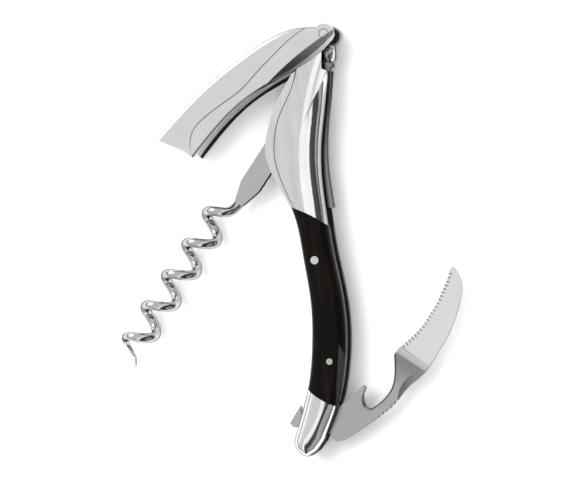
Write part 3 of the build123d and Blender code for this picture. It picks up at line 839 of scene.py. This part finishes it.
def faces_of(points: Array, count: int, along: int, around: int) -> list[list[int]]:
    """The faces of shells made of rings and poles, turned outwards.

    Ring i joins ring i + 1 with one quad for each point, and each end ring joins its pole with triangles.
    The faces are turned by the sign of the volume, the sum of a . (b x c) / 6.

    Args:
        points: the rings' points, shell by shell and ring by ring, followed by each shell's two poles.
        count: how many shells.
        along: rings in a shell.
        around: points on a ring.

    Returns:
        The faces as lists of points.
    """
    index = np.arange(count * along * around).reshape(count, along, around)
    turned = np.roll(index, -1, axis=2)
    quads = np.stack((index[:, :-1], index[:, 1:], turned[:, 1:], turned[:, :-1]), axis=-1).reshape(-1, 4)
    ends = index.size + np.arange(2 * count).reshape(count, 2)
    low = np.stack((np.broadcast_to(ends[:, :1], index[:, 0].shape), index[:, 0], turned[:, 0]), axis=-1)
    high = np.stack((np.broadcast_to(ends[:, 1:], index[:, -1].shape), turned[:, -1], index[:, -1]), axis=-1)
    fans = np.concatenate((low.reshape(-1, 3), high.reshape(-1, 3)))
    facets = np.concatenate((quads[:, :3], quads[:, [0, 2, 3]], fans))
    a, b, c = (points[facets[:, i]] for i in range(3))
    if np.einsum("ij,ij->i", a, np.cross(b, c)).sum() < 0:
        quads, fans = quads[:, ::-1], fans[:, ::-1]
    return quads.tolist() + fans.tolist()


@dataclass
class AddedPiece:
    """A piece of closed shells that rides on a body."""

    name: str
    body: Body
    slot: Slot

    def shells(self, ending: str, rings: Array, poles: Array, material: bpy.types.Material) -> None:
        """Make closed shells of rings of points, with a pole at each end, and dress them.

        Args:
            ending: what the piece's name ends with.
            rings: points in millimetres, by shell, ring and place on the ring.
            poles: the first and last pole of each shell, in millimetres.
            material: the piece's material.
        """
        name = self.name + ending
        count, along, around, _ = rings.shape
        points = np.concatenate((rings.reshape(-1, 3), poles.reshape(-1, 3)))
        mesh = bpy.data.meshes.new(name)
        mesh.from_pydata((points * MM).tolist(), [], faces_of(points, count, along, around))
        mesh.polygons.foreach_set("use_smooth", np.ones(len(mesh.polygons), dtype=bool))
        mesh.update()
        piece = show(name, mesh)
        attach(piece, self.body.value)
        dress(piece, material)
        LOG.info("%s: %d faces", name, len(mesh.polygons))


@dataclass
class StepShadowLine(AddedPiece):
    """A fine line of painted shadow along a contour where the face steps down, on the front face and its
    mirror on the back.
    """

    points: Sequence[Pair]
    level: float
    aside: float = 0.0
    width: float = 0.3
    height: float = 0.05
    fade_from: float = 0.04
    fade_power: float = 0.25
    count: int = 120
    around: int = 8

    def build(self, material: bpy.types.Material) -> None:
        """Make the line's two pieces and dress them.

        Args:
            material: the dark steel of the painted shadow.
        """
        self.shells("_front", *self.rings(self.level), material)
        self.shells("_back", *self.rings(THICKNESS - self.level), material)

    def rings(self, level: float) -> tuple[Array, Array]:
        """A small ellipse carried along the contour: c(s) + w/2 cos v * left(s) + h/2 sin v * up.

        Its width fades to nothing at both ends by a root of a half sine.

        Args:
            level: height of the ellipse's centre.

        Returns:
            The rings and the two poles.
        """
        line = beside(through(self.points, self.count), self.aside)
        left = beside(line, 1.0) - line
        v = around_once(self.around)
        share = np.linspace(self.fade_from, np.pi - self.fade_from, self.count)
        fade = np.sin(share)[:, None] ** self.fade_power
        swing = fade * np.cos(v) * self.width / 2
        flat = line[:, None, :] + left[:, None, :] * swing[:, :, None]
        up = level + fade * np.sin(v) * self.height / 2
        rings = np.concatenate((flat, up[:, :, None]), axis=2)[None]
        return rings, rings.mean(axis=2)[:, [0, -1]]


@dataclass
class Gullets(AddedPiece):
    """The little grooves between the teeth, ground into both faces along the blade's edge, drawn as dark
    spindles of painted shade.
    """

    edge: Sequence[Pair]
    teeth: int = 23
    steps: int = 400
    lead: float = 0.7
    spare: float = 0.4
    length: float = 1.25
    width: float = 0.32
    sink: float = 0.1
    inset: float = 0.6
    edge_level: float = 0.27
    grind: float = 0.07
    tip: float = 0.98
    along: int = 9
    around: int = 12

    def build(self, material: bpy.types.Material) -> None:
        """Make the grooves' shading pieces and dress them.

        Args:
            material: the dark steel of the painted shade.
        """
        self.shells("_front", *self.rings(1.0), material)
        self.shells("_back", *self.rings(-1.0), material)

    def rings(self, sign: float) -> tuple[Array, Array]:
        """One thin spindle for each groove, lying across the edge and rising with the blade's grind.

        A spindle is c + x l/2 * across + r(x) (w/2 cos v * way + s/2 sin v * up), with r(x) = sqrt(1 - x^2).

        Args:
            sign: 1 for the front face, -1 for the back.

        Returns:
            The rings and the poles.
        """
        line = through(self.edge, self.steps)
        share = (np.arange(self.teeth) + self.lead) / (self.teeth + self.spare)
        at = (share * (self.steps - 1)).astype(int)
        way = direction(line)[at]
        across = np.stack((way[:, 1], -way[:, 0]), axis=1)
        centre = line[at] + across * self.inset
        x = np.linspace(-self.tip, self.tip, self.along)[:, None]
        r = np.sqrt(1 - x**2)
        v = around_once(self.around)
        flat = (
            centre[:, None, None, :]
            + across[:, None, None, :] * (x * self.length / 2)[None, :, :, None]
            + way[:, None, None, :] * (r * np.cos(v) * self.width / 2)[None, :, :, None]
        )
        rise = self.edge_level + self.grind * (x + 1) * self.length / 2
        up = MIDDLE + sign * (rise + r * np.sin(v) * self.sink / 2)
        rings = np.concatenate((flat, np.broadcast_to(up[None, :, :, None], flat.shape[:3] + (1,))), axis=3)
        return rings, rings.mean(axis=2)[:, [0, -1]]


@dataclass
class ThumbBoss(AddedPiece):
    """The smooth boss at the end of the screw's spring, over its collar."""

    base: float = 10.37
    height: float = 2.76
    ends: Pair = (50.0, 55.33)
    width: float = 5.56
    flank_power: float = 0.5
    top_power: float = 0.85
    top_gap: float = 0.06
    along: int = 18
    around: int = 48

    def build(self, material: bpy.types.Material) -> None:
        """Make the boss and dress it.

        Args:
            material: the polished steel.
        """
        self.shells("", *self.rings(), material)

    def rings(self) -> tuple[Array, Array]:
        """A dome on a flat base: x = base + H sin(u)^top and share(u) = cos(u)^flank of the oval in y and z.

        Returns:
            The rings and the two poles.
        """
        u = np.linspace(0.0, np.pi / 2 - self.top_gap, self.along)[:, None]
        v = around_once(self.around)[None, :]
        share = np.cos(u) ** self.flank_power
        centre, reach = sum(self.ends) / 2, (self.ends[1] - self.ends[0]) / 2
        x = self.base + self.height * np.sin(u) ** self.top_power + 0 * v
        y = centre + reach * share * np.cos(v)
        z = MIDDLE + self.width / 2 * share * np.sin(v)
        poles = [[[self.base, centre, MIDDLE], [self.base + self.height, centre, MIDDLE]]]
        return np.stack((x, y, z), axis=-1)[None], np.array(poles)


# ---------------------------------------------------------------- studio


@dataclass(frozen=True)
class SoftLight:
    """A square soft light aimed at the object, which neither the camera nor the steel sees."""

    name: str
    place: Point
    size: float
    power: float

    def build(self) -> None:
        """Place the light, in metres and watts, and turn it to the origin."""
        lamp = bpy.data.lights.new(self.name, "AREA")
        lamp.size = self.size
        lamp.energy = self.power
        stand = show(self.name, lamp)
        stand.visible_glossy = False
        stand.visible_camera = False
        stand.location = self.place
        x, y, z = self.place
        stand.rotation_euler = (math.atan2(math.hypot(x, y), z), 0.0, math.atan2(y, x) + math.pi / 2)


@dataclass
class Studio:
    """Camera, floor, room and lights.

    The room's brightness is ramp(d . across) * horizon(d_z) plus a small bright window, where d is the
    direction looked in. The bands are the ramp's stops, as d . across and brightness.
    """

    focus: Point = (-1.3 * MM, -3.1 * MM, 7.5 * MM)
    tilt: float = 10.7
    distance: float = 1.1
    frame_width: float = 163.4 * MM
    sensor: float = 36.0
    clip: Pair = (0.05, 20.0)
    floor_reach: float = 3.0
    floor_grain: float = 9.0
    floor_shades: Pair = (0.93, 0.96)
    floor_rough: float = 0.8
    across: Point = (0.9, -0.43, 0.0)
    horizon: float = 0.35
    horizon_ends: Pair = (0.05, 0.4)
    brightness: float = 1.15
    window: Point = (-0.69, 0.52, 0.5)
    window_ends: Pair = (0.955, 0.975)
    window_light: float = 4.0
    paper: Colour = (0.95, 0.95, 0.95, 1.0)
    tint: Point = (0.98, 0.99, 1.0)
    bands: tuple[Pair, ...] = (
        (-1.0, 0.6),
        (-0.92, 1.0),
        (-0.76, 1.0),
        (-0.66, 0.7),
        (-0.2, 0.66),
        (0.0, 0.66),
        (0.08, 0.95),
        (0.32, 1.0),
        (0.37, 0.08),
        (0.72, 0.05),
        (0.78, 0.42),
        (1.0, 0.3),
    )
    lights: tuple[SoftLight, ...] = (
        SoftLight("key", (-0.5, 0.42, 1.7), 0.7, 12.0),
        SoftLight("overhead", (-0.01, 0.0, 1.6), 2.6, 23.0),
    )

    def build(self) -> None:
        """Make the whole studio."""
        self.camera()
        self.floor()
        self.room()
        for light in self.lights:
            light.build()
        self.tone()
        LOG.info("studio is set")

    def camera(self) -> None:
        """Place the camera above the object, tipped a little towards the knife's side."""
        lens = bpy.data.cameras.new("camera")
        lens.sensor_width = self.sensor
        lens.lens = self.sensor * self.distance / self.frame_width
        lens.clip_start, lens.clip_end = self.clip
        eye = show("camera", lens)
        angle = math.radians(self.tilt)
        x, y, z = self.focus
        eye.location = (x + self.distance * math.sin(angle), y, z + self.distance * math.cos(angle))
        eye.rotation_euler = (0.0, angle, 0.0)
        bpy.context.scene.camera = eye

    def floor(self) -> None:
        """A wide pale floor under the object."""
        reach = self.floor_reach
        mesh = bpy.data.meshes.new("floor")
        corners = [(-reach, -reach, 0), (reach, -reach, 0), (reach, reach, 0), (-reach, reach, 0)]
        mesh.from_pydata(corners, [], [(0, 1, 2, 3)])
        ground = show("floor", mesh)
        graph = Graph("pale_floor")
        cloud = graph.noise(graph.spot(), self.floor_grain, detail=2.0)
        stops = [(at, (shade, shade, shade, 1.0)) for at, shade in zip((0.0, 1.0), self.floor_shades)]
        graph.put("Base Color", graph.shades(cloud, stops))
        graph.put("Roughness", self.floor_rough)
        dress(ground, graph.material)

    def room(self) -> None:
        """A soft white room with a dark card at the lower right, so that polished steel shows its shape.

        The camera itself sees plain pale paper.
        """
        world = bpy.data.worlds.new("studio")
        world.use_nodes = True
        tree = Tree(world.node_tree, "Generated")
        red, green, blue = self.tint
        stops = [((at + 1.0) / 2.0, (red * v, green * v, blue * v, 1.0)) for at, v in self.bands]
        walls = tree.shades(tree.spread(tree.along(self.across), -1.0, 1.0), stops)
        level = tree.spread(tree.along(UP), *self.horizon_ends, self.horizon, 1.0)
        light = tree.calc("MULTIPLY", level, self.brightness)
        glow = tree.spread(tree.along(self.window), *self.window_ends, 0.0, self.window_light, "SMOOTHSTEP")
        background = tree.nodes["Background"]
        tree.feed(background.inputs["Color"], walls)
        tree.feed(background.inputs["Strength"], tree.calc("ADD", light, glow))
        paper = tree.add("ShaderNodeBackground")
        tree.feed(paper.inputs["Color"], self.paper)
        seen = tree.add("ShaderNodeMixShader")
        tree.join(tree.add("ShaderNodeLightPath").outputs["Is Camera Ray"], seen.inputs["Fac"])
        tree.join(background.outputs["Background"], seen.inputs[MIX_FIRST])
        tree.join(paper.outputs["Background"], seen.inputs[MIX_SECOND])
        tree.join(seen.outputs["Shader"], tree.nodes["World Output"].inputs["Surface"])
        bpy.context.scene.world = world

    def tone(self) -> None:
        """Show colours plainly, so that the floor reads as white paper."""
        view = bpy.context.scene.view_settings
        view.view_transform = "Standard"
        view.look = "None"


# ---------------------------------------------------------------- the whole corkscrew


def solid_groups() -> list[SolidGroup]:
    """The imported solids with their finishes, each finish on the pieces that share it.

    Returns:
        The groups in the order in which they are dressed.
    """
    head_steel = CrownedSteel(
        "head_bolster_steel",
        line_angle=-82.0,
        streak=1.5,
        mottle=0.16,
        arc=(89.05, 23.91),
        radius=82.0,
        back_painted_shade=0.55,
    )
    tail_steel = CrownedSteel(
        "tail_bolster_steel",
        line_angle=-112.0,
        streak=1.5,
        mottle=0.2,
        arc=(-11.17, -43.2),
        radius=23.7,
        side=-1.0,
        inner=2.6,
        outer=0.9,
        rise=0.6,
    )
    # painted shade: the liners are near black so that their edges read as the dark strip along the back
    liner_steel = SatinSteel("liner_steel", shade=0.14, line_angle=85.0, rim=0.12)
    lever_steel = HollowedSteel("lever_steel", line_angle=40.0, rim=0.95)
    worm_steel = PolishedSteel("worm_steel", shade=0.6, rough=0.07, line_angle=56.0)
    blade_steel = KnifeSteel("blade_steel", shade=0.95, line_angle=-33.0)
    # painted shade: the screw's spring is dark so that its side reads as the dark strip along the back
    back_spring_painted_shade_steel = SatinSteel("screw_spring_steel", shade=0.34, rough=0.2)
    belly_spring_steel = SatinSteel("spring_steel", shade=0.6, rough=0.2, line_angle=70.0)
    upper_rivet_steel = PolishedSteel("upper_rivet_steel", shade=0.8)
    lower_rivet_steel = PolishedSteel("lower_rivet_steel", shade=0.66, warmth=0.16)
    pins = ("worm_pin", "knife_pin", "worm_spring_pin", "spacer_pins", "head_bolster_pins")
    pins += ("tail_bolster_pins",)
    return [
        SolidGroup(("front_scale", "back_scale"), DarkHorn("dark_horn")),
        SolidGroup(("front_head_bolster", "back_head_bolster"), head_steel),
        SolidGroup(("front_tail_bolster",), tail_steel),
        SolidGroup(("back_tail_bolster",), replace(tail_steel, name="back_tail_bolster_steel", rim=0.95)),
        SolidGroup(("front_liner", "back_liner"), liner_steel),
        SolidGroup(("lever", "lever_pin"), lever_steel, FINE_CORNER),
        SolidGroup(("worm",), worm_steel),
        SolidGroup(("knife",), blade_steel, FINE_CORNER),
        SolidGroup(("worm_spring",), back_spring_painted_shade_steel),
        SolidGroup(("knife_spring", "centre_spacer"), belly_spring_steel),
        SolidGroup(("upper_scale_rivet",), upper_rivet_steel),
        SolidGroup(("lower_scale_rivet",), lower_rivet_steel),
        SolidGroup(pins, SatinSteel("pin_steel")),
    ]


def add_details() -> None:
    """Build the pieces that are finer than the solids, each with its steel."""
    shade_steel = SatinSteel("line_steel", shade=0.16, rough=0.4).make()
    # painted shade in the serration grooves
    gullet_steel = SatinSteel("gullet_steel", shade=0.25, rough=0.35).make()
    boss_steel = PolishedSteel("boss_steel", shade=0.85, rim=0.3).make()
    # painted shadow: dark lines along the steps of the belly's margin and the lever's panel
    belly = StepShadowLine("belly_step_shadow", Body.HANDLE, Slot.BOLSTER, BELLY_MARGIN, level=13.34)
    contour = StepShadowLine("lever_step_shadow", Body.LEVER, Slot.LEVER, LEVER_PANEL, level=14.86, aside=-0.16)
    belly.build(shade_steel)
    contour.build(shade_steel)
    Gullets("gullets", Body.BLADE, Slot.BLADE, BLADE_EDGE).build(gullet_steel)
    ThumbBoss("thumb_boss_skin", Body.SCREW_SPRING, Slot.SPRING).build(boss_steel)


def main() -> None:
    """Build every sub-assembly in order."""
    logging.basicConfig(level=logging.INFO, format="%(message)s")
    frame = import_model()
    Studio().build()
    for group in solid_groups():
        group.build(frame["nodes"])
    add_details()


if __name__ == "__main__":
    main()
